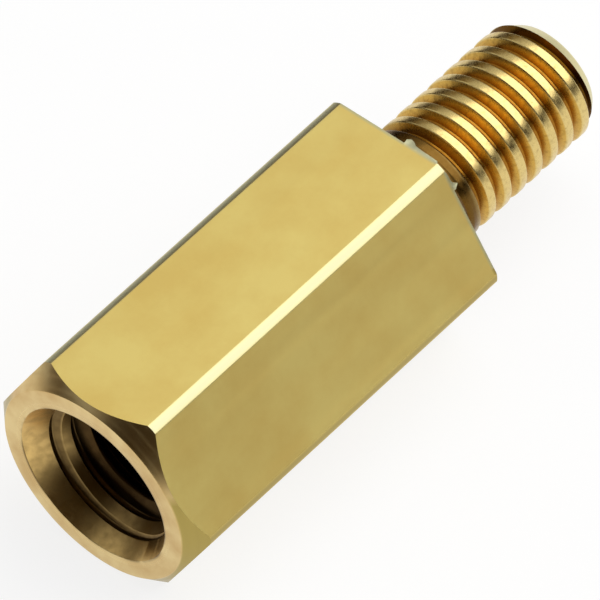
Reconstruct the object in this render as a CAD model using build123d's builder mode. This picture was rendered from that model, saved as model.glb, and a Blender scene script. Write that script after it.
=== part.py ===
"""Male to female hex standoff, turned from brass hexagon bar, lying on one of its flats."""

import os
from math import cos, radians, tan

from build123d import *

# Hexagon bar
across_flats = 5.0  # hexagon bar, flat to flat
body_length = 9.4  # tapped end to shoulder
edge_radius = 0.25  # rounding that the drawn bar has along its six edges

# Tapped end
land_diameter = 4.8  # outer edge of the flat ring that a board seats on
chamfer_angle = 45.0  # turned cone that takes off the hexagon's corners, from the end face
countersink_diameter = 3.9  # inner edge of the flat ring
countersink_angle = 60.0  # included angle of the countersunk mouth
tap_diameter = 2.5  # drilled size of the tapped hole, the crest of its M3 thread
hole_depth = 6.5  # end face to the start of the drill point
drill_point_angle = 118.0  # included angle at the bottom of the blind hole

# Threaded stud
stud_length = 5.0  # shoulder to tip
stud_diameter = 2.9  # crest of its M3 thread
tip_chamfer = 0.25  # 45 degree lead at the tip

# The one overrun that lets a cutting profile reach past the face it opens
overrun = 1.0

# Places that follow from these sizes: the part lies along X, centred on the origin, on the plane Z = 0
total_length = body_length + stud_length
axis_start = Vector(-total_length / 2, 0, across_flats / 2)
end_plane = Plane(origin=axis_start, x_dir=(0, 1, 0), z_dir=(1, 0, 0))
turning_plane = Plane(origin=axis_start, x_dir=(1, 0, 0), z_dir=(0, -1, 0))
turning_axis = Axis(axis_start, (1, 0, 0))

land_radius = land_diameter / 2
stud_radius = stud_diameter / 2
tap_radius = tap_diameter / 2
mouth_radius = countersink_diameter / 2

with BuildPart() as standoff:
    # The bar, one flat down and one corner to each side, its long edges rounded
    with BuildSketch(end_plane):
        RegularPolygon(radius=across_flats / 2, side_count=6, major_radius=False)
    extrude(amount=body_length)
    fillet(standoff.edges().filter_by(Axis.X), radius=edge_radius)

    # Facing the tapped end: only what lies inside this turned envelope stays, so the cone scallops each flat
    corner_radius = across_flats / 2 / cos(radians(30))
    envelope_radius = corner_radius + overrun
    cone_length = (envelope_radius - land_radius) * tan(radians(chamfer_angle))
    with BuildSketch(turning_plane):
        with BuildLine():
            Polyline(
                (0, 0),
                (0, land_radius),
                (cone_length, envelope_radius),
                (body_length, envelope_radius),
                (body_length, 0),
                close=True,
            )
        make_face()
    revolve(axis=turning_axis, mode=Mode.INTERSECT)

    # The stud at its crest diameter, square to the shoulder, with a chamfered tip
    with BuildSketch(turning_plane):
        with BuildLine():
            Polyline(
                (body_length, 0),
                (body_length, stud_radius),
                (total_length - tip_chamfer, stud_radius),
                (total_length, stud_radius - tip_chamfer),
                (total_length, 0),
                close=True,
            )
        make_face()
    revolve(axis=turning_axis)

    # The blind tapped hole: countersunk mouth, tap drill, drill point
    mouth_slope = tan(radians(countersink_angle / 2))
    mouth_depth = (mouth_radius - tap_radius) / mouth_slope
    point_depth = hole_depth + tap_radius / tan(radians(drill_point_angle / 2))
    with BuildSketch(turning_plane):
        with BuildLine():
            Polyline(
                (-overrun, 0),
                (-overrun, mouth_radius + overrun * mouth_slope),
                (mouth_depth, tap_radius),
                (hole_depth, tap_radius),
                (point_depth, 0),
                close=True,
            )
        make_face()
    revolve(axis=turning_axis, mode=Mode.SUBTRACT)

standoff.part.label = "standoff"

os.makedirs("parts", exist_ok=True)
export_step(standoff.part, "parts/standoff.step")
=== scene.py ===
"""Brass hex standoff at full size: drawn bar, turned ends and both cut threads, on a pale studio floor."""

import math

import bpy
from bpy.props import FloatProperty, FloatVectorProperty, IntProperty, PointerProperty
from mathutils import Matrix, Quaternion, Vector


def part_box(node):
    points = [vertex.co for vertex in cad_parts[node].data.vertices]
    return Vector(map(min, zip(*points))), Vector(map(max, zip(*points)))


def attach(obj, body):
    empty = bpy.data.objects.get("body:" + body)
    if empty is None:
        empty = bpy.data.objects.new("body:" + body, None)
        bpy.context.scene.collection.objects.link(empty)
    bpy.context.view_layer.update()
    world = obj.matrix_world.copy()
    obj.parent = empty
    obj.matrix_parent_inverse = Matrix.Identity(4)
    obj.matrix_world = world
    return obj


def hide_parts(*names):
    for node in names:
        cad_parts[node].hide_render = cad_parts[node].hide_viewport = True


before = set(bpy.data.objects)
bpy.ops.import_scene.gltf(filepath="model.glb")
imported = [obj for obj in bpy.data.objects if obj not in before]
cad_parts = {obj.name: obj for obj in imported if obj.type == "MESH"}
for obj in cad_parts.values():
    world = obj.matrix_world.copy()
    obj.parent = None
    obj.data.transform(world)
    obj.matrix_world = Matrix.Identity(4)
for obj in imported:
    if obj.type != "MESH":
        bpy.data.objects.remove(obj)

bl_info = {
    "name": "Hex Standoff",
    "version": (1, 0, 0),
    "blender": (4, 5, 0),
    "location": "View3D > Sidebar > Standoff",
    "description": "Models a brass male to female hex standoff and the stage that it lies on",
    "category": "Mesh",
}

MM = 0.001
FULL_TURN = 2 * math.pi
HALF_FLAT_ANGLE = math.radians(30)  # half of what one flat of the hexagon spans, seen from the axis
MERGE_DISTANCE = 0.001 * MM  # vertices nearer than this are one
SMOOTH_ANGLE = math.radians(30)  # edges that turn by more than this stay sharp
SQUARE_ON = 0.99  # a face is square to the axis when its normal has more than this along it
SPARE_TURNS = 2  # turns that a thread is wound past each end of its rod and then pressed flat

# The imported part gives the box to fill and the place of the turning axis, to a thousandth of a millimetre
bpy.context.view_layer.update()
NODE_LOW, NODE_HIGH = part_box("standoff")
OVERALL_LENGTH_MM = round((NODE_HIGH.x - NODE_LOW.x) / MM, 3)
ACROSS_FLATS_MM = round((NODE_HIGH.z - NODE_LOW.z) / MM, 3)
AXIS_START = Vector((round(NODE_LOW.x, 6), 0, round((NODE_LOW.z + NODE_HIGH.z) / 2, 6)))

# Burr on the shoulder's upper and front flats: away from their corner, out of the flat, tooth heights in mm
TOP_WAY = Vector((0, 1, 0))
TOP_OUT = Vector((0, 0, 1))
TOP_BURR = (0.045, 0.05, 0.05, 0.055, 0.05, 0.055, 0.06, 0.065, 0.12, 0.14, 0.08)
FRONT_WAY = Vector((0, -math.sin(HALF_FLAT_ANGLE), -math.cos(HALF_FLAT_ANGLE)))
FRONT_OUT = Vector((0, -math.cos(HALF_FLAT_ANGLE), math.sin(HALF_FLAT_ANGLE)))
FRONT_BURR = (0.02, 0.025, 0.02, 0.03, 0.13, 0.02)

# Sizes of the marks in the finishes, and heights of their relief, in millimetres
CLOUD_MM = 1.6
DRAW_LINE_LENGTH_MM = 6
DRAW_LINE_MM = 0.12
DRAW_LINE_HEIGHT_MM = 0.0003
BLOTCH_MM = 0.7
TOOL_RING_MM = 0.07
TOOL_RING_HEIGHT_MM = 0.001
RIM_LINE_MM = 0.05
SPECK_MM = 0.09
SPECK_HEIGHT_MM = 0.0015
TEAR_MM = 0.2
TEAR_HEIGHT_MM = 0.0015

# Nearly all values of a noise pattern lie in the wide range, and most of them in the narrow one
WIDE_NOISE = {"From Min": 0.3, "From Max": 0.7}
NARROW_NOISE = {"From Min": 0.35, "From Max": 0.65}


def to_linear(hex_value):
    """Turns an sRGB hex colour into the linear red, green and blue that shaders take."""
    shades = [int(hex_value[place:place + 2], 16) / 255 for place in (0, 2, 4)]
    return tuple(s / 12.92 if s <= 0.04045 else ((s + 0.055) / 1.055) ** 2.4 for s in shades)


def length(name, description, millimetres):
    """A size that a user can change, given in millimetres and kept in metres."""
    return FloatProperty(
        name=name, description=description, default=millimetres * MM, unit="LENGTH", precision=5
    )


def angle(name, description, degrees):
    """An angle that a user can change, given in degrees and kept in radians."""
    return FloatProperty(name=name, description=description, default=math.radians(degrees), unit="ROTATION")


def colour(name, description, hex_value):
    """A colour that a user can change, given as sRGB hex and kept linear, with an alpha of one."""
    return FloatVectorProperty(
        name=name,
        description=description,
        default=(*to_linear(hex_value), 1),
        size=4,
        subtype="COLOR",
        min=0,
        max=1,
    )


class StandoffSizes(bpy.types.PropertyGroup):
    """Sizes of the bar, the tapped end and the stud, without their threads."""

    overall_length: length("Overall length", "Tapped end to the stud's tip", OVERALL_LENGTH_MM)
    across_flats: length("Across flats", "Hexagon bar, flat to flat", ACROSS_FLATS_MM)
    body_length: length("Body length", "Tapped end to shoulder", 9.4)
    edge_radius: length("Edge radius", "Rounding along the bar's six drawn edges", 0.25)
    edge_profile: FloatProperty(
        name="Edge profile", description="Drawn edges, flat at 0.25 and round at 0.5", default=0.33
    )
    edge_break: length("Edge break", "Small rounding that deburring leaves on a turned edge", 0.03)
    land_diameter: length("Land diameter", "Outer edge of the flat ring on the tapped end", 4.8)
    chamfer_angle: angle("Chamfer angle", "Turned cone on the tapped end, from the end face", 45)
    mouth_diameter: length("Mouth diameter", "Outer edge of the countersunk mouth", 3.9)
    mouth_angle: angle("Mouth angle", "Included angle of the countersunk mouth", 60)
    tap_diameter: length("Tap diameter", "Drilled size of the hole, the crest of its thread", 2.5)
    hole_depth: length("Hole depth", "End face to the start of the drill point", 6.5)
    point_angle: angle("Drill point angle", "Included angle at the bottom of the hole", 118)
    stud_diameter: length("Stud diameter", "Crest of the stud's thread", 2.9)
    tip_chamfer: length("Tip chamfer", "Height of the lead at the stud's tip", 0.25)
    tip_angle: angle("Tip angle", "Slope of the lead at the stud's tip, from the axis", 35)
    burr_step: length("Burr step", "Distance from tooth to tooth of the burr on the shoulder", 0.085)
    burr_thickness: length("Burr thickness", "Thickness of the burr on the shoulder", 0.04)
    burr_lift: length("Burr lift", "How far the burr rises out of the flat over its length", 0.06)
    overrun: length("Overrun", "How far a cutting shape reaches past what it cuts", 1.0)
    thread_steps: IntProperty(
        name="Thread steps", description="Steps in one turn of a thread", default=96, min=24
    )
    lathe_steps: IntProperty(
        name="Lathe steps", description="Steps in one turn of a plain lathe shape", default=140, min=24
    )


class ThreadSizes(bpy.types.PropertyGroup):
    """Sizes of the two M3 threads, which run on the same pitch, and of the darkening on the stud's neck."""

    pitch: length("Pitch", "Distance from one thread crest to the next", 0.5)
    flank_angle: angle("Flank angle", "Included angle between the flanks", 60)
    depth: length("Stud thread depth", "Crest to root of the stud's thread", 0.2)
    crest_rounding: length("Crest rounding", "Radius on the edges of the crests", 0.04)
    root_rounding: length("Root rounding", "Radius on the edges of the roots", 0.03)
    root_width: length("Root width", "Flat at the bottom of a groove", 0.07)
    stud_phase: length("Stud thread phase", "First groove over the axis, from the tapped end", 9.513)
    stud_runout: length("Stud run-out", "Shoulder to where the thread starts to fade", 1.1)
    stud_neck: length("Stud neck", "Plain neck between the thread and the shoulder", 0.6)
    # Where the darkening of the neck beside the shoulder is full, and where it ends
    neck_dark_full: length("Full stain", "Shoulder to where the oil beside it starts to thin", 0.95)
    neck_dark_end: length("Stain end", "Shoulder to where the oil beside it ends", 1.35)
    tap_major_diameter: length("Tapped major diameter", "Root of the female thread", 3.06)
    tap_phase: length("Tapped thread phase", "First ridge over the axis, from the tapped end", 0.477)
    tap_depth: length("Tapped depth", "Full thread in the hole", 5.0)
    flare: length("Mouth flare", "How much wider the tap has cut at the mouth", 0.195)
    flare_depth: length("Flare depth", "End face to where the thread has its true size", 1.6)


class BrassColours(bpy.types.PropertyGroup):
    """Colours of the four brass finishes."""

    drawn_pale: colour("Drawn pale", "Clear patches of the drawn flats", "F2DB84")
    drawn_deep: colour("Drawn deep", "Clouded patches of the drawn flats", "EACD76")
    # Painted highlight: the bar's upper edges and the burr get this paler tone in place of the light on them
    edge_highlight: colour("Rubbed edge", "Bright metal along the bar's two upper edges and on the burr", "C6C49E")
    # Painted shade: the bar's lower edges and the cone's low corners get this darker tone
    low_edge_shade: colour("Dulled edge", "Tarnished metal on the other edges and the cone's low corners", "AE9A56")
    turned_pale: colour("Turned pale", "Clean turned metal", "E2C88C")
    turned_deep: colour("Turned deep", "Dulled turned metal", "CEAD70")
    rim_line: colour("Grime", "Dark line where the land meets the mouth", "3A2812")
    # Partly wear and partly a painted highlight: the crests get this paler tone
    crest: colour("Thread crest", "Bright metal on the stud's thread crests", "E2C882")
    flank: colour("Thread flank", "Oiled metal on the stud's thread flanks", "CEA54E")
    root: colour("Thread root", "Deeper tone in the stud's thread roots", "A87428")
    # Also darkens the groove behind the tip and the neck beside the shoulder
    dark_brown: colour("Thread stain", "Old cutting oil in specks, behind the tip and on the neck", "60400E")
    tip: colour("Tip", "Cleaner, paler metal on the stud's turned tip", "E0D6A0")
    bore_mouth: colour("Bore mouth", "Dull metal at the edge of the countersunk mouth", "E6C27A")
    # Painted shade deep in the hole, in its grooves and at the bottom of the mouth, and the tone of the torn
    # flecks
    bore_shade_and_flecks: colour("Bore deep", "Oil-darkened metal at the bottom of the hole", "3A2612")


class StageSettings(bpy.types.PropertyGroup):
    """Floor, lights and camera."""

    floor_size: length("Floor size", "Side of the floor", 2000)
    floor_colour: colour("Floor colour", "Plain floor under the glow, which takes the shadow", "7C7C7C")
    floor_glow: FloatProperty(
        name="Floor glow", description="Lift that makes the seen floor white", default=0.835
    )
    room_level: FloatProperty(name="Room level", description="Brightness of the pale room", default=0.7)
    key_level: FloatProperty(name="Key level", description="Brightness of the large soft lamp", default=1.6)
    lamp_distance: length("Lamp distance", "Standoff to lamp", 250)
    key_size: length("Key size", "Side of the large soft lamp", 320)
    key_azimuth: angle("Key azimuth", "Lamp's turn about the upright, zero in front", 56)
    key_elevation: angle("Key elevation", "Lamp's height above the horizon", 55)
    wall_radius: length("Wall radius", "Standoff to the low dark wall round the stage", 150)
    wall_height: length("Wall height", "Height of the low dark wall round the stage", 60)
    card_distance: length("Card distance", "Standoff to the two cards", 160)
    flag_colour: colour("Flag colour", "Dark card beside the camera, and the low wall", "4A3818")
    flag_size: length("Flag size", "Side of the dark card", 250)
    flag_azimuth: angle("Flag azimuth", "Dark card's turn about the upright, zero in front", -63.4)
    flag_elevation: angle("Flag elevation", "Dark card's height above the horizon", 37.3)
    back_colour: colour("Back colour", "Tan card behind the standoff", "B89C68")
    back_size: length("Back size", "Side of the tan card", 120)
    back_azimuth: angle("Back azimuth", "Tan card's turn about the upright, zero in front", 146)
    back_elevation: angle("Back elevation", "Tan card's height above the horizon", 15)
    view_distance: length("View distance", "Aim point to camera", 220)
    view_azimuth: angle("View azimuth", "Camera's turn about the upright, zero in front", -46.042)
    view_elevation: angle("View elevation", "Camera's height above the horizon", 49.682)
    view_roll: angle("View roll", "Camera's turn about its own line of sight", -3.893)
    view_aim: FloatVectorProperty(
        name="View aim",
        description="Point in the middle of the picture",
        default=(-2.191 * MM, -1.374 * MM, 4.750 * MM),
        subtype="TRANSLATION",
        unit="LENGTH",
    )
    lens: FloatProperty(
        name="Lens", description="Focal length in millimetres on a 36 mm sensor", default=648.7
    )


# Drawing and shaping


def rounded(corners, steps=4):
    """Points of an outline. Each corner is (along the axis, off the axis, radius of its arc or zero)."""
    points = []
    for place, (x, r, radius) in enumerate(corners):
        here = Vector((x, r))
        if radius == 0:
            points.append(here)
            continue
        before = Vector(corners[place - 1][:2]) - here
        after = Vector(corners[place + 1][:2]) - here
        before.normalize()
        after.normalize()
        half = before.angle(after) / 2
        centre = here + (before + after).normalized() * (radius / math.sin(half))
        start = here + before * (radius / math.tan(half)) - centre
        end = here + after * (radius / math.tan(half)) - centre
        sweep = start.angle_signed(end)
        for step in range(steps + 1):
            turn = -sweep * step / steps
            cosine = math.cos(turn)
            sine = math.sin(turn)
            spoke = Vector((start.x * cosine - start.y * sine, start.x * sine + start.y * cosine))
            points.append(centre + spoke)
    return points


def draw(name, points):
    """Draws an outline above the turning axis, vertex by vertex, and stays in edit mode."""
    bpy.ops.object.select_all(action="DESELECT")
    bpy.ops.mesh.primitive_plane_add(size=MM, location=AXIS_START)
    tool = bpy.context.object
    tool.name = name
    bpy.ops.object.mode_set(mode="EDIT")
    bpy.ops.mesh.select_mode(type="VERT")
    bpy.ops.mesh.select_all(action="SELECT")
    bpy.ops.mesh.merge(type="CENTER")
    bpy.ops.mesh.select_all(action="SELECT")
    bpy.ops.transform.translate(value=(points[0].x, 0, points[0].y))
    for before, after in zip(points, points[1:]):
        step = (after.x - before.x, 0, after.y - before.y)
        bpy.ops.mesh.extrude_vertices_move(TRANSFORM_OT_translate={"value": step})
    bpy.ops.mesh.select_all(action="SELECT")
    return tool


def close_up(tool, finish):
    """Merges doubles, turns the faces outwards, gives the finish and goes back to object mode."""
    bpy.ops.mesh.select_all(action="SELECT")
    bpy.ops.mesh.remove_doubles(threshold=MERGE_DISTANCE)
    bpy.ops.mesh.normals_make_consistent(inside=False)
    bpy.ops.object.mode_set(mode="OBJECT")
    tool.data.materials.append(finish)
    return tool


def lathe(name, corners, finish, steps):
    """Turns an outline about the axis."""
    tool = draw(name, rounded(corners))
    bpy.ops.mesh.spin(steps=steps, angle=FULL_TURN, center=AXIS_START, axis=(1, 0, 0))
    return close_up(tool, finish)


def ramp(value, start, end):
    """Smooth step from 0 at the start to 1 at the end."""
    share = min(max((value - start) / (end - start), 0), 1)
    return share * share * (3 - 2 * share)


def threaded_rod(name, threads, crest, root, centre, reach, runouts, finish, steps, swell=(0, 1, 0)):
    """Winds one pitch of a right-hand thread into a rod with plain, flat ends.

    The groove crosses the plane above the axis at centre. Reach is the rod's two ends. Each run-out is
    the place where the thread starts to fade, the place where it is gone, and the radius that is left
    there. A swell is where the thread starts to widen, where it is widest, and by how much.
    """
    low, high = reach
    turns_before = math.ceil((centre - low) / threads.pitch) + SPARE_TURNS
    turns_after = math.ceil((high - centre) / threads.pitch) + SPARE_TURNS
    first = centre - turns_before * threads.pitch
    root_half = threads.root_width / 2
    crest_half = root_half + (crest - root) * math.tan(threads.flank_angle / 2)
    corners = [
        (first - threads.pitch / 2, crest, 0),
        (first - crest_half, crest, threads.crest_rounding),
        (first - root_half, root, threads.root_rounding),
        (first + root_half, root, threads.root_rounding),
        (first + crest_half, crest, threads.crest_rounding),
        (first + threads.pitch / 2, crest, 0),
    ]
    rod = draw(name, rounded(corners))
    bpy.ops.object.mode_set(mode="OBJECT")
    screw = rod.modifiers.new("winding", "SCREW")
    screw.axis = "X"
    screw.angle = FULL_TURN
    screw.screw_offset = threads.pitch
    screw.iterations = turns_before + turns_after
    screw.steps = steps
    screw.render_steps = steps
    bpy.ops.object.modifier_apply(modifier=screw.name)
    for vertex in rod.data.vertices:
        x, y, z = vertex.co
        begin, full, amount = swell
        radius = math.hypot(y, z) + amount * ramp(x, begin, full)
        for begin, gone, plain in runouts:
            radius += (plain - radius) * ramp(x, begin, gone)
        stretch = radius / math.hypot(y, z)
        vertex.co = (min(max(x, low), high), y * stretch, z * stretch)
    bpy.ops.object.mode_set(mode="EDIT")
    bpy.ops.mesh.select_all(action="SELECT")
    bpy.ops.mesh.remove_doubles(threshold=2 * MERGE_DISTANCE)
    bpy.ops.mesh.select_all(action="DESELECT")
    bpy.ops.mesh.select_non_manifold(extend=False)
    bpy.ops.mesh.fill_holes(sides=0)
    return close_up(rod, finish)


def work(piece, operation, tool):
    """Cuts, keeps or joins with a tool, then throws it away. Each face keeps the finish of what made it."""
    bpy.ops.object.select_all(action="DESELECT")
    bpy.context.view_layer.objects.active = piece
    piece.select_set(True)
    joint = piece.modifiers.new(tool.name, "BOOLEAN")
    joint.operation = operation
    joint.object = tool
    joint.solver = "EXACT"
    joint.material_mode = "TRANSFER"
    bpy.ops.object.modifier_apply(modifier=joint.name)
    bpy.ops.object.select_all(action="DESELECT")
    tool.select_set(True)
    bpy.ops.object.delete()


# The standoff's features


def hexagon_bar(sizes, finish):
    """Drawn bar, too long at the tapped end, a flat down and a corner to each side, long edges rounded."""
    corner_radius = sizes.across_flats / 2 / math.cos(HALF_FLAT_ANGLE)
    bpy.ops.object.select_all(action="DESELECT")
    bpy.ops.mesh.primitive_cylinder_add(
        vertices=6,
        radius=corner_radius,
        depth=sizes.body_length + sizes.overrun,
        location=AXIS_START + Vector(((sizes.body_length - sizes.overrun) / 2, 0, 0)),
        rotation=(0, math.pi / 2, 0),
    )
    bar = bpy.context.object
    bar.name = "standoff_body"
    bpy.ops.object.transform_apply(location=True, rotation=True, scale=True)
    bpy.ops.object.mode_set(mode="EDIT")
    bpy.ops.mesh.select_mode(type="EDGE")
    bpy.ops.object.mode_set(mode="OBJECT")
    for polygon in bar.data.polygons:
        polygon.select = False
    for edge in bar.data.edges:
        ends = [bar.data.vertices[v].co for v in edge.vertices]
        edge.select = abs(ends[0].x - ends[1].x) > sizes.body_length / 2
    bpy.ops.object.mode_set(mode="EDIT")
    tangent = sizes.edge_radius * math.tan(HALF_FLAT_ANGLE)
    bpy.ops.mesh.bevel(offset=tangent, segments=8, profile=sizes.edge_profile)
    return close_up(bar, finish)


def turned_end(sizes, finish):
    """What turning leaves of the bar: the land, the cone that scallops the flats, the countersunk mouth."""
    land = sizes.land_diameter / 2
    mouth = sizes.mouth_diameter / 2
    outer = sizes.across_flats
    cone = (outer - land) * math.tan(sizes.chamfer_angle)
    floor = sizes.tap_diameter / 2 - sizes.edge_radius
    sink = (mouth - floor) / math.tan(sizes.mouth_angle / 2)
    corners = [
        (sink, 0, 0),
        (sink, floor, 0),
        (0, mouth, sizes.edge_break),
        (0, land, sizes.edge_break),
        (cone, outer, 0),
        (sizes.body_length + sizes.overrun, outer, 0),
        (sizes.body_length + sizes.overrun, 0, 0),
    ]
    return lathe("turned_end", corners, finish, sizes.lathe_steps)


def threaded_stud(sizes, threads, turned, cut):
    """Stud whose thread starts in the tip's chamfer and fades into a plain neck at the shoulder."""
    crest = sizes.stud_diameter / 2
    tip = sizes.overall_length
    shoulder = sizes.body_length
    reach = (shoulder - sizes.overrun, tip + sizes.overrun)
    root = crest - threads.depth
    runouts = [
        (shoulder + threads.stud_runout, shoulder + threads.stud_neck, crest),
        (tip, tip + sizes.overrun / 2, crest),
    ]
    phase = threads.stud_phase
    stud = threaded_rod("stud", threads, crest, root, phase, reach, runouts, cut, sizes.thread_steps)
    lead = crest - sizes.tip_chamfer
    outer = crest + sizes.overrun
    corners = [
        (shoulder - 2 * sizes.overrun, 0, 0),
        (shoulder - 2 * sizes.overrun, outer, 0),
        (tip - (outer - lead) / math.tan(sizes.tip_angle), outer, 0),
        (tip, lead, sizes.edge_break),
        (tip, 0, 0),
    ]
    work(stud, "INTERSECT", lathe("stud_tip", corners, turned, sizes.lathe_steps))
    return stud


def tapped_hole(sizes, threads, finish):
    """Shape of the hole: the female thread, the plain tap drill below it and the drill's point."""
    wall = sizes.tap_diameter / 2
    root = threads.tap_major_diameter / 2
    slope = math.tan(sizes.point_angle / 2)
    point = sizes.hole_depth + wall / slope
    reach = (-sizes.overrun, point + sizes.overrun)
    runouts = [
        (-sizes.overrun / 4, -sizes.overrun / 2, wall),
        (threads.tap_depth, threads.tap_depth + threads.pitch, wall),
    ]
    swell = (threads.flare_depth, threads.flare_depth / 4, threads.flare)
    phase = threads.tap_phase
    steps = sizes.thread_steps
    hole = threaded_rod("hole", threads, root, wall, phase, reach, runouts, finish, steps, swell)
    outer = root + sizes.overrun
    corners = [
        (-2 * sizes.overrun, 0, 0),
        (-2 * sizes.overrun, outer, 0),
        (point - outer / slope, outer, 0),
        (point, 0, 0),
    ]
    work(hole, "INTERSECT", lathe("drill_point", corners, finish, sizes.lathe_steps))
    return hole


def burr(sizes, along, outward, heights, finish):
    """Ragged lip that parting off has left on the shoulder, along one flat from the upper front corner."""
    half_flat = sizes.across_flats / 2 * math.tan(HALF_FLAT_ANGLE)
    corner = AXIS_START + Vector((sizes.body_length, -half_flat, sizes.across_flats / 2))
    bpy.ops.object.select_all(action="DESELECT")
    bpy.ops.mesh.primitive_grid_add(x_subdivisions=len(heights) - 1, y_subdivisions=1, size=MM)
    lip = bpy.context.object
    lip.name = "burr"

    # It starts two steps from the corner, flush with the flat, sunk at its root and lifted along its teeth
    for place, height in enumerate(heights):
        foot = corner + along * (sizes.burr_step * (place + 2)) - outward * sizes.burr_thickness / 2
        sunk = outward * sizes.burr_thickness / 4
        lift = outward * sizes.burr_lift * place / len(heights)
        lip.data.vertices[place].co = foot - sunk - Vector((sizes.burr_step, 0, 0))
        lip.data.vertices[place + len(heights)].co = foot + lift + Vector((height * MM, 0, 0))
    thicken = lip.modifiers.new("thicken", "SOLIDIFY")
    thicken.thickness = sizes.burr_thickness
    thicken.offset = 0
    bpy.ops.object.modifier_apply(modifier=thicken.name)
    bpy.ops.object.mode_set(mode="EDIT")
    bpy.ops.mesh.select_all(action="SELECT")
    bpy.ops.mesh.quads_convert_to_tris()
    return close_up(lip, finish)


# Finishes


def per(millimetres):
    """Pattern scale that repeats about once in this many millimetres."""
    return 1 / (millimetres * MM)


def add_node(tree, kind, inputs, output=0, **settings):
    """Adds a node and gives one of its outputs. An input is a value, or an output to link from."""
    node = tree.nodes.new(kind)
    for field, value in settings.items():
        setattr(node, field, value)
    for socket, value in inputs.items():
        if isinstance(value, bpy.types.NodeSocket):
            tree.links.new(value, node.inputs[socket])
        else:
            node.inputs[socket].default_value = value
    return node.outputs[output] if node.outputs else None


def new_material(name):
    """An empty node material."""
    material = bpy.data.materials.new(name)
    material.use_nodes = True
    material.node_tree.nodes.clear()
    return material


def off_axis(tree, place):
    """Distance of the shaded point from the turning axis."""
    flat = {"Vector": place, "Location": (0, 0, -AXIS_START.z), "Scale": (0, 1, 1)}
    across = add_node(tree, "ShaderNodeMapping", flat)
    return add_node(tree, "ShaderNodeVectorMath", {"Vector": across}, "Value", operation="LENGTH")


def along_axis(tree, place):
    """Distance of the shaded point from the tapped end."""
    moved = add_node(tree, "ShaderNodeMapping", {"Vector": place, "Location": (-AXIS_START.x, 0, 0)})
    return add_node(tree, "ShaderNodeSeparateXYZ", {"Vector": moved}, "X")


def coat(tree, ground, layers, roughness, relief, relief_mm):
    """Metal surface of this gloss and fine relief, linked to the material's output.

    Each layer is the share that it covers and its tone, over the ground tone and the layers before it.
    """
    tone = ground
    for share, cover in layers:
        tones = {"Factor": share, "A": tone, "B": cover}
        tone = add_node(tree, "ShaderNodeMix", tones, "Result", data_type="RGBA")
    bumps = {"Height": relief, "Strength": 1.0, "Distance": relief_mm * MM}
    normal = add_node(tree, "ShaderNodeBump", bumps)
    metal = {"Base Color": tone, "Metallic": 1.0, "Roughness": roughness, "Normal": normal}
    surface = add_node(tree, "ShaderNodeBsdfPrincipled", metal)
    add_node(tree, "ShaderNodeOutputMaterial", {"Surface": surface})


def drawn_brass(colours, sizes):
    """Cold-drawn brass bar: a satin skin, softly clouded, with fine draw lines, a painted highlight on the
    upper edges and painted shade on the lower ones.
    """
    material = new_material("drawn_brass")
    tree = material.node_tree
    place = add_node(tree, "ShaderNodeTexCoord", {}, "Object")

    # Clouds over a millimetre across, where the die has dragged on the skin, shift the tone
    cloudy = {"Vector": place, "Scale": per(CLOUD_MM), "Detail": 8.0, "Roughness": 0.6}
    clouds = add_node(tree, "ShaderNodeTexNoise", cloudy)
    share = add_node(tree, "ShaderNodeMapRange", {"Value": clouds, **NARROW_NOISE})
    tones = {"Factor": share, "A": colours.drawn_deep, "B": colours.drawn_pale}
    skin = add_node(tree, "ShaderNodeMix", tones, "Result", data_type="RGBA")

    # Draw lines are long in X and about a tenth of a millimetre apart, and they break up the gloss
    stretch = (per(DRAW_LINE_LENGTH_MM), per(DRAW_LINE_MM), per(DRAW_LINE_MM))
    drag = add_node(tree, "ShaderNodeMapping", {"Vector": place, "Scale": stretch})
    lines = add_node(tree, "ShaderNodeTexNoise", {"Vector": drag, "Scale": 1.0, "Detail": 3.0})
    gloss = {"Value": lines, **WIDE_NOISE, "To Min": 0.38, "To Max": 0.43}
    roughness = add_node(tree, "ShaderNodeMapRange", gloss)

    # The upper long edges are painted pale as a highlight, and the lower ones darker as painted shade
    height = add_node(tree, "ShaderNodeSeparateXYZ", {"Vector": place}, "Z")
    limit = AXIS_START.z + sizes.edge_radius
    upper = add_node(tree, "ShaderNodeMath", {0: height, 1: limit}, operation="GREATER_THAN")
    tones = {"Factor": upper, "A": colours.low_edge_shade, "B": colours.edge_highlight}
    painted_light_and_wear = add_node(tree, "ShaderNodeMix", tones, "Result", data_type="RGBA")

    # The edges are all that lies past the ends of the flats
    half_flat = (sizes.across_flats / 2 - sizes.edge_radius) * math.tan(HALF_FLAT_ANGLE)
    flat_end = math.hypot(sizes.across_flats / 2, half_flat)
    ends = {
        "Value": off_axis(tree, place),
        "From Min": flat_end - sizes.edge_break / 6,
        "From Max": flat_end + sizes.edge_break / 3,
    }
    edge = add_node(tree, "ShaderNodeMapRange", ends, interpolation_type="SMOOTHSTEP")

    # The burr that stands out past the shoulder gets the same painted highlight
    past = {
        "Value": along_axis(tree, place),
        "From Min": sizes.body_length - sizes.burr_step,
        "From Max": sizes.body_length,
    }
    lip = add_node(tree, "ShaderNodeMapRange", past)
    edge = add_node(tree, "ShaderNodeMath", {0: edge, 1: lip}, operation="MAXIMUM")
    coat(tree, skin, [(edge, painted_light_and_wear)], roughness, lines, DRAW_LINE_HEIGHT_MM)
    return material


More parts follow.
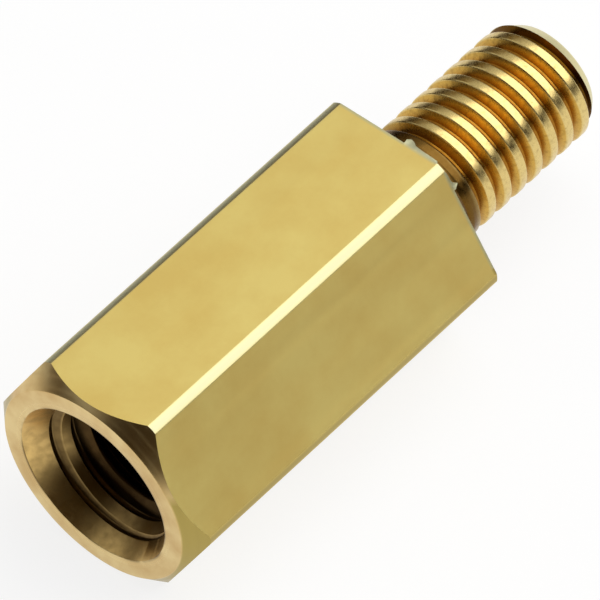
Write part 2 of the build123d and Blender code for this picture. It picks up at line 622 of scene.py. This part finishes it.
def turned_brass(colours, sizes):
    """Faced and coned on a lathe: dull pinkish metal with fine tool rings, a darker line round the mouth and
    painted shade on the cone's lower corners.
    """
    material = new_material("turned_brass")
    tree = material.node_tree
    place = add_node(tree, "ShaderNodeTexCoord", {}, "Object")
    radius = off_axis(tree, place)
    along = along_axis(tree, place)

    # Blotches somewhat under a millimetre across, where the skin has dulled
    dappled = {"Vector": place, "Scale": per(BLOTCH_MM), "Detail": 5.0}
    blotches = add_node(tree, "ShaderNodeTexNoise", dappled)
    share = add_node(tree, "ShaderNodeMapRange", {"Value": blotches, **NARROW_NOISE})
    tones = {"Factor": share, "A": colours.turned_deep, "B": colours.turned_pale}
    skin = add_node(tree, "ShaderNodeMix", tones, "Result", data_type="RGBA")

    # Tool rings change only away from the axis and along it, at the lathe's feed
    ring = add_node(tree, "ShaderNodeCombineXYZ", {"X": radius, "Y": along})
    fine = {"Vector": ring, "Scale": per(TOOL_RING_MM), "Detail": 2.0}
    rings = add_node(tree, "ShaderNodeTexNoise", fine)
    gloss = {"Value": rings, **WIDE_NOISE, "To Min": 0.26, "To Max": 0.36}
    roughness = add_node(tree, "ShaderNodeMapRange", gloss)

    # The edge between the land and the countersunk mouth is darker in patches
    rim = sizes.mouth_diameter / 2
    reach = add_node(tree, "ShaderNodeMath", {0: radius, 1: rim}, operation="SUBTRACT")
    reach = add_node(tree, "ShaderNodeMath", {0: reach}, operation="ABSOLUTE")
    around = {"Value": reach, "From Min": RIM_LINE_MM * MM, "From Max": 0.0}
    rim_dark = add_node(tree, "ShaderNodeMapRange", around)
    patchy = {"Value": blotches, "From Min": 0.6, "From Max": 0.4, "To Max": 0.7}
    patches = add_node(tree, "ShaderNodeMapRange", patchy)
    half = sizes.body_length / 2
    front = add_node(tree, "ShaderNodeMath", {0: along, 1: half}, operation="LESS_THAN")
    for mask in (patches, front):
        rim_dark = add_node(tree, "ShaderNodeMath", {0: rim_dark, 1: mask}, operation="MULTIPLY")

    # The cone's lower corners get the same painted shade as the long edges that they lead to
    height = add_node(tree, "ShaderNodeSeparateXYZ", {"Vector": place}, "Z")
    limit = AXIS_START.z + sizes.across_flats / 4
    down = {"Value": height, "From Min": limit, "From Max": limit - sizes.edge_radius}
    low = add_node(tree, "ShaderNodeMapRange", down)
    land = sizes.land_diameter / 2
    outside = {"Value": radius, "From Min": land, "From Max": land + sizes.edge_break}
    cone = add_node(tree, "ShaderNodeMapRange", outside)
    for mask in (cone, front):
        low = add_node(tree, "ShaderNodeMath", {0: low, 1: mask}, operation="MULTIPLY")

    # The stud's tip has been handled less and is paler
    stud = {"Value": along, "From Min": sizes.body_length, "From Max": sizes.overall_length}
    clean = add_node(tree, "ShaderNodeMapRange", stud)
    layers = [(rim_dark, colours.rim_line), (low, colours.low_edge_shade), (clean, colours.tip)]
    coat(tree, skin, layers, roughness, rings, TOOL_RING_HEIGHT_MM)
    return material


def cut_brass(colours, sizes, threads):
    """Die-cut thread: crests painted bright, partly wear and partly a painted highlight, darker roots, and
    specks of brown cutting oil everywhere.
    """
    material = new_material("cut_brass")
    tree = material.node_tree
    place = add_node(tree, "ShaderNodeTexCoord", {}, "Object")
    radius = off_axis(tree, place)
    along = along_axis(tree, place)
    crest = sizes.stud_diameter / 2

    # The tone lightens from the root up the flank
    climb = {"Value": radius, "From Min": crest - threads.depth, "From Max": crest - threads.depth / 3}
    rise = add_node(tree, "ShaderNodeMapRange", climb)
    tones = {"Factor": rise, "A": colours.root, "B": colours.flank}
    skin = add_node(tree, "ShaderNodeMix", tones, "Result", data_type="RGBA")

    # The groove of the first turn behind the tip is darkened
    behind = sizes.overall_length - threads.pitch
    last = {"Value": along, "From Min": behind, "From Max": behind + threads.pitch / 4}
    turn = add_node(tree, "ShaderNodeMapRange", last)

    # The crests are painted bright, partly wear and partly a painted highlight
    top = {"Value": radius, "From Min": crest - threads.depth / 5, "From Max": crest - threads.depth / 20}
    painted_light_and_wear = add_node(tree, "ShaderNodeMapRange", top)

    # The neck and the first turn next to it are darkened
    fade = {
        "Value": along,
        "From Min": sizes.body_length + threads.neck_dark_end,
        "From Max": sizes.body_length + threads.neck_dark_full,
        "To Max": 0.94,
    }
    neck = add_node(tree, "ShaderNodeMapRange", fade)

    # Specks about a tenth of a millimetre across stain the metal and roughen it
    speckled = {"Vector": place, "Scale": per(SPECK_MM), "Detail": 4.0}
    specks = add_node(tree, "ShaderNodeTexNoise", speckled)
    dark = {"Value": specks, "From Min": 0.5, "From Max": 0.8, "To Max": 0.3}
    stained = add_node(tree, "ShaderNodeMapRange", dark)
    gloss = {"Value": specks, **WIDE_NOISE, "To Min": 0.22, "To Max": 0.34}
    roughness = add_node(tree, "ShaderNodeMapRange", gloss)
    dark_brown = colours.dark_brown
    layers = [(turn, dark_brown), (painted_light_and_wear, colours.crest), (neck, dark_brown), (stained, dark_brown)]
    coat(tree, skin, layers, roughness, specks, SPECK_HEIGHT_MM)
    return material


def tapped_brass(colours, sizes):
    """Countersunk, tapped and drilled wall: dull, torn metal, with painted shade that darkens it with depth.
    """
    material = new_material("tapped_brass")
    tree = material.node_tree
    place = add_node(tree, "ShaderNodeTexCoord", {}, "Object")
    along = along_axis(tree, place)

    # Painted shade: darker the deeper the hole goes
    inwards = {"Value": along, "From Min": 0.0, "From Max": sizes.hole_depth / 4}
    depth = add_node(tree, "ShaderNodeMapRange", inwards, interpolation_type="SMOOTHSTEP")

    # Painted shade also darkens the thread's grooves, which lie behind the countersunk cone
    slope = math.tan(sizes.mouth_angle / 2)
    cone = {0: along, 1: slope, 2: off_axis(tree, place)}
    behind = add_node(tree, "ShaderNodeMath", cone, operation="MULTIPLY_ADD")
    mouth = sizes.mouth_diameter / 2
    past = {"Value": behind, "From Min": mouth, "From Max": mouth + sizes.edge_break, "To Max": 0.6}
    groove = add_node(tree, "ShaderNodeMapRange", past)

    # Painted shade also darkens the bottom of the mouth, inside the rim
    height = add_node(tree, "ShaderNodeSeparateXYZ", {"Vector": place}, "Z")
    quarter = mouth / 4
    down = {
        "Value": height,
        "From Min": AXIS_START.z - quarter,
        "From Max": AXIS_START.z - 2 * quarter,
        "To Max": 0.45,
    }
    mouth_bottom_shade = add_node(tree, "ShaderNodeMapRange", down)
    inside = add_node(tree, "ShaderNodeMapRange", {"Value": along, "From Min": 0.0, "From Max": quarter})
    mouth_bottom_shade = add_node(tree, "ShaderNodeMath", {0: mouth_bottom_shade, 1: inside}, operation="MULTIPLY")

    # The tap tears the metal in flecks about a fifth of a millimetre across
    tears = add_node(tree, "ShaderNodeTexNoise", {"Vector": place, "Scale": per(TEAR_MM), "Detail": 4.0})
    torn = {"Value": tears, "From Min": 0.4, "From Max": 0.8, "To Max": 0.3}
    fleck = add_node(tree, "ShaderNodeMapRange", torn)
    gloss = {"Value": tears, **WIDE_NOISE, "To Min": 0.32, "To Max": 0.44}
    roughness = add_node(tree, "ShaderNodeMapRange", gloss)
    layers = [(share, colours.bore_shade_and_flecks) for share in (depth, groove, mouth_bottom_shade, fleck)]
    coat(tree, colours.bore_mouth, layers, roughness, tears, TEAR_HEIGHT_MM)
    return material


class StandoffBuild(bpy.types.Operator):
    """Models the standoff in place of its plain solid"""

    bl_idname = "standoff.build"
    bl_label = "Build Standoff"

    def execute(self, context):
        sizes = context.scene.standoff_sizes
        threads = context.scene.standoff_threads
        colours = context.scene.standoff_colours
        turned = turned_brass(colours, sizes)
        drawn = drawn_brass(colours, sizes)
        piece = hexagon_bar(sizes, drawn)
        work(piece, "INTERSECT", turned_end(sizes, turned))
        lips = burr(sizes, TOP_WAY, TOP_OUT, TOP_BURR, drawn)
        work(lips, "UNION", burr(sizes, FRONT_WAY, FRONT_OUT, FRONT_BURR, drawn))
        work(piece, "UNION", lips)
        work(piece, "UNION", threaded_stud(sizes, threads, turned, cut_brass(colours, sizes, threads)))
        tapped = tapped_brass(colours, sizes)
        work(piece, "DIFFERENCE", tapped_hole(sizes, threads, tapped))
        self.refinish(piece, sizes, turned, tapped)
        self.finish(piece)
        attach(piece, "root")
        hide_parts("standoff")
        return {"FINISHED"}

    def refinish(self, piece, sizes, turned, tapped):
        """Gives the shoulder the turned finish, and the countersunk mouth that of the hole it leads into."""
        finishes = piece.data.materials
        to_end = piece.matrix_world.inverted() @ AXIS_START
        for polygon in piece.data.polygons:
            x, y, z = polygon.center - to_end
            if x < sizes.hole_depth and math.hypot(y, z) < sizes.mouth_diameter / 2 - sizes.edge_break:
                polygon.material_index = finishes.find(tapped.name)
            elif abs(x - sizes.body_length) < MERGE_DISTANCE and polygon.normal.x > SQUARE_ON:
                polygon.material_index = finishes.find(turned.name)

    def finish(self, piece):
        """Checks that the shape is closed and smooths it."""
        bpy.ops.object.select_all(action="DESELECT")
        bpy.context.view_layer.objects.active = piece
        piece.select_set(True)
        bpy.ops.object.mode_set(mode="EDIT")
        bpy.ops.mesh.select_mode(type="VERT")
        bpy.ops.mesh.select_all(action="SELECT")
        bpy.ops.mesh.remove_doubles(threshold=MERGE_DISTANCE)
        bpy.ops.mesh.select_all(action="DESELECT")
        bpy.ops.mesh.select_non_manifold()
        bpy.ops.object.mode_set(mode="OBJECT")
        if any(vertex.select for vertex in piece.data.vertices):
            raise RuntimeError("the standoff is not closed")
        bpy.ops.object.transform_apply(location=True, rotation=True, scale=True)
        bpy.ops.object.shade_smooth_by_angle(angle=SMOOTH_ANGLE)
        weighted = piece.modifiers.new("weighted", "WEIGHTED_NORMAL")
        weighted.keep_sharp = True
        bpy.ops.object.modifier_apply(modifier=weighted.name)


def towards(azimuth, elevation):
    """Unit vector from the standoff to a place seen at this azimuth and elevation."""
    flat = math.cos(elevation)
    return Vector((math.sin(azimuth) * flat, -math.cos(azimuth) * flat, math.sin(elevation)))


class StandoffStage(bpy.types.Operator):
    """Lays the floor and sets the lights and the camera"""

    bl_idname = "standoff.stage"
    bl_label = "Set Stage"

    def execute(self, context):
        stage = context.scene.standoff_stage
        self.floor(stage)
        self.lights(context.scene, stage)
        self.cards(stage)
        self.camera(context.scene, stage)
        context.scene.view_settings.view_transform = "Standard"
        return {"FINISHED"}

    def floor(self, stage):
        """Lays a floor that shows white and keeps the shadow."""
        bpy.ops.object.select_all(action="DESELECT")
        bpy.ops.mesh.primitive_plane_add(size=stage.floor_size, location=(0, 0, NODE_LOW.z))
        floor = bpy.context.object
        floor.name = "floor"
        paper = new_material("pale_paper")
        tree = paper.node_tree
        surface = add_node(tree, "ShaderNodeBsdfDiffuse", {"Color": stage.floor_colour})

        # What the camera and the metal see of the floor is lifted to white, and the shadow on it stays
        ray = tree.nodes.new("ShaderNodeLightPath").outputs
        seen = ray["Is Camera Ray"]
        for kind in ("Is Glossy Ray", "Is Transmission Ray"):
            seen = add_node(tree, "ShaderNodeMath", {0: seen, 1: ray[kind]}, operation="ADD")
        lift = add_node(tree, "ShaderNodeMath", {0: seen, 1: stage.floor_glow}, operation="MULTIPLY")
        glow = add_node(tree, "ShaderNodeEmission", {"Strength": lift})
        both = add_node(tree, "ShaderNodeAddShader", {0: surface, 1: glow})
        add_node(tree, "ShaderNodeOutputMaterial", {"Surface": both})
        floor.data.materials.append(paper)

    def lights(self, scene, stage):
        """Sets a pale room and one large soft lamp."""
        world = bpy.data.worlds.new("pale_room")
        world.use_nodes = True
        tree = world.node_tree
        tree.nodes.clear()
        sky = add_node(tree, "ShaderNodeBackground", {"Strength": stage.room_level})
        add_node(tree, "ShaderNodeOutputWorld", {"Surface": sky})
        scene.world = world
        aim = Vector(stage.view_aim)
        key_way = towards(stage.key_azimuth, stage.key_elevation)
        bpy.ops.object.light_add(type="AREA", location=aim + key_way * stage.lamp_distance)
        key = bpy.context.object
        key.name = "key_lamp"
        key.rotation_mode = "QUATERNION"
        key.rotation_quaternion = key_way.to_track_quat("Z", "Y")
        key.data.size = stage.key_size

        # The power follows the lamp's area, so its brightness stays when its size changes
        key.data.energy = stage.key_level * math.pi * stage.key_size ** 2

    def cards(self, stage):
        """Stands the cards and the low wall that the metal shows."""
        dark = self.card_paper("dark_card", stage.flag_colour)
        tan = self.card_paper("tan_card", stage.back_colour)
        flag_way = towards(stage.flag_azimuth, stage.flag_elevation)
        back_way = towards(stage.back_azimuth, stage.back_elevation)
        self.card("dark_flag", stage, flag_way, stage.flag_size, dark)
        self.card("tan_back", stage, back_way, stage.back_size, tan)
        bpy.ops.mesh.primitive_cylinder_add(
            vertices=64,
            radius=stage.wall_radius,
            depth=stage.wall_height,
            end_fill_type="NOTHING",
            location=(0, 0, stage.wall_height / 2),
        )
        wall = bpy.context.object
        wall.name = "dark_wall"
        wall.visible_camera = False
        wall.data.materials.append(dark)

    def card_paper(self, name, tint):
        """Matt coloured card, which the metal shows as a soft dark patch."""
        paper = new_material(name)
        surface = add_node(paper.node_tree, "ShaderNodeBsdfDiffuse", {"Color": tint})
        add_node(paper.node_tree, "ShaderNodeOutputMaterial", {"Surface": surface})
        return paper

    def card(self, name, stage, way, side, paper):
        """Stands a square card in this direction, facing the standoff and hidden from the camera."""
        place = Vector(stage.view_aim) + way * stage.card_distance
        bpy.ops.mesh.primitive_plane_add(size=side, location=place)
        card = bpy.context.object
        card.name = name
        card.rotation_mode = "QUATERNION"
        card.rotation_quaternion = way.to_track_quat("Z", "Y")
        card.visible_camera = False
        card.data.materials.append(paper)

    def camera(self, scene, stage):
        """Sets the photograph's camera."""
        back = towards(stage.view_azimuth, stage.view_elevation)
        place = Vector(stage.view_aim) + back * stage.view_distance
        bpy.ops.object.camera_add(location=place)
        camera = bpy.context.object
        camera.name = "camera"
        camera.rotation_mode = "QUATERNION"
        camera.rotation_quaternion = back.to_track_quat("Z", "Y") @ Quaternion((0, 0, 1), stage.view_roll)
        camera.data.lens = stage.lens
        scene.camera = camera


class StandoffPanel(bpy.types.Panel):
    """Lists the standoff's sizes, colours and operators"""

    bl_idname = "VIEW3D_PT_standoff"
    bl_label = "Hex Standoff"
    bl_space_type = "VIEW_3D"
    bl_region_type = "UI"
    bl_category = "Standoff"

    def draw(self, context):
        for group in GROUPS:
            box = self.layout.box()
            for field in GROUPS[group].__annotations__:
                box.prop(getattr(context.scene, group), field)
        self.layout.operator(StandoffBuild.bl_idname)
        self.layout.operator(StandoffStage.bl_idname)


GROUPS = {
    "standoff_sizes": StandoffSizes,
    "standoff_threads": ThreadSizes,
    "standoff_colours": BrassColours,
    "standoff_stage": StageSettings,
}
CLASSES = (*GROUPS.values(), StandoffBuild, StandoffStage, StandoffPanel)


def register():
    """Registers the classes and gives the scene its settings."""
    for each in CLASSES:
        bpy.utils.register_class(each)
    for name, group in GROUPS.items():
        setattr(bpy.types.Scene, name, PointerProperty(type=group))


def unregister():
    """Takes back what register has done."""
    for name in GROUPS:
        delattr(bpy.types.Scene, name)
    for each in reversed(CLASSES):
        bpy.utils.unregister_class(each)


def main():
    """Builds the standoff and its stage."""
    register()
    bpy.ops.standoff.build()
    bpy.ops.standoff.stage()


if __name__ == "__main__":
    main()
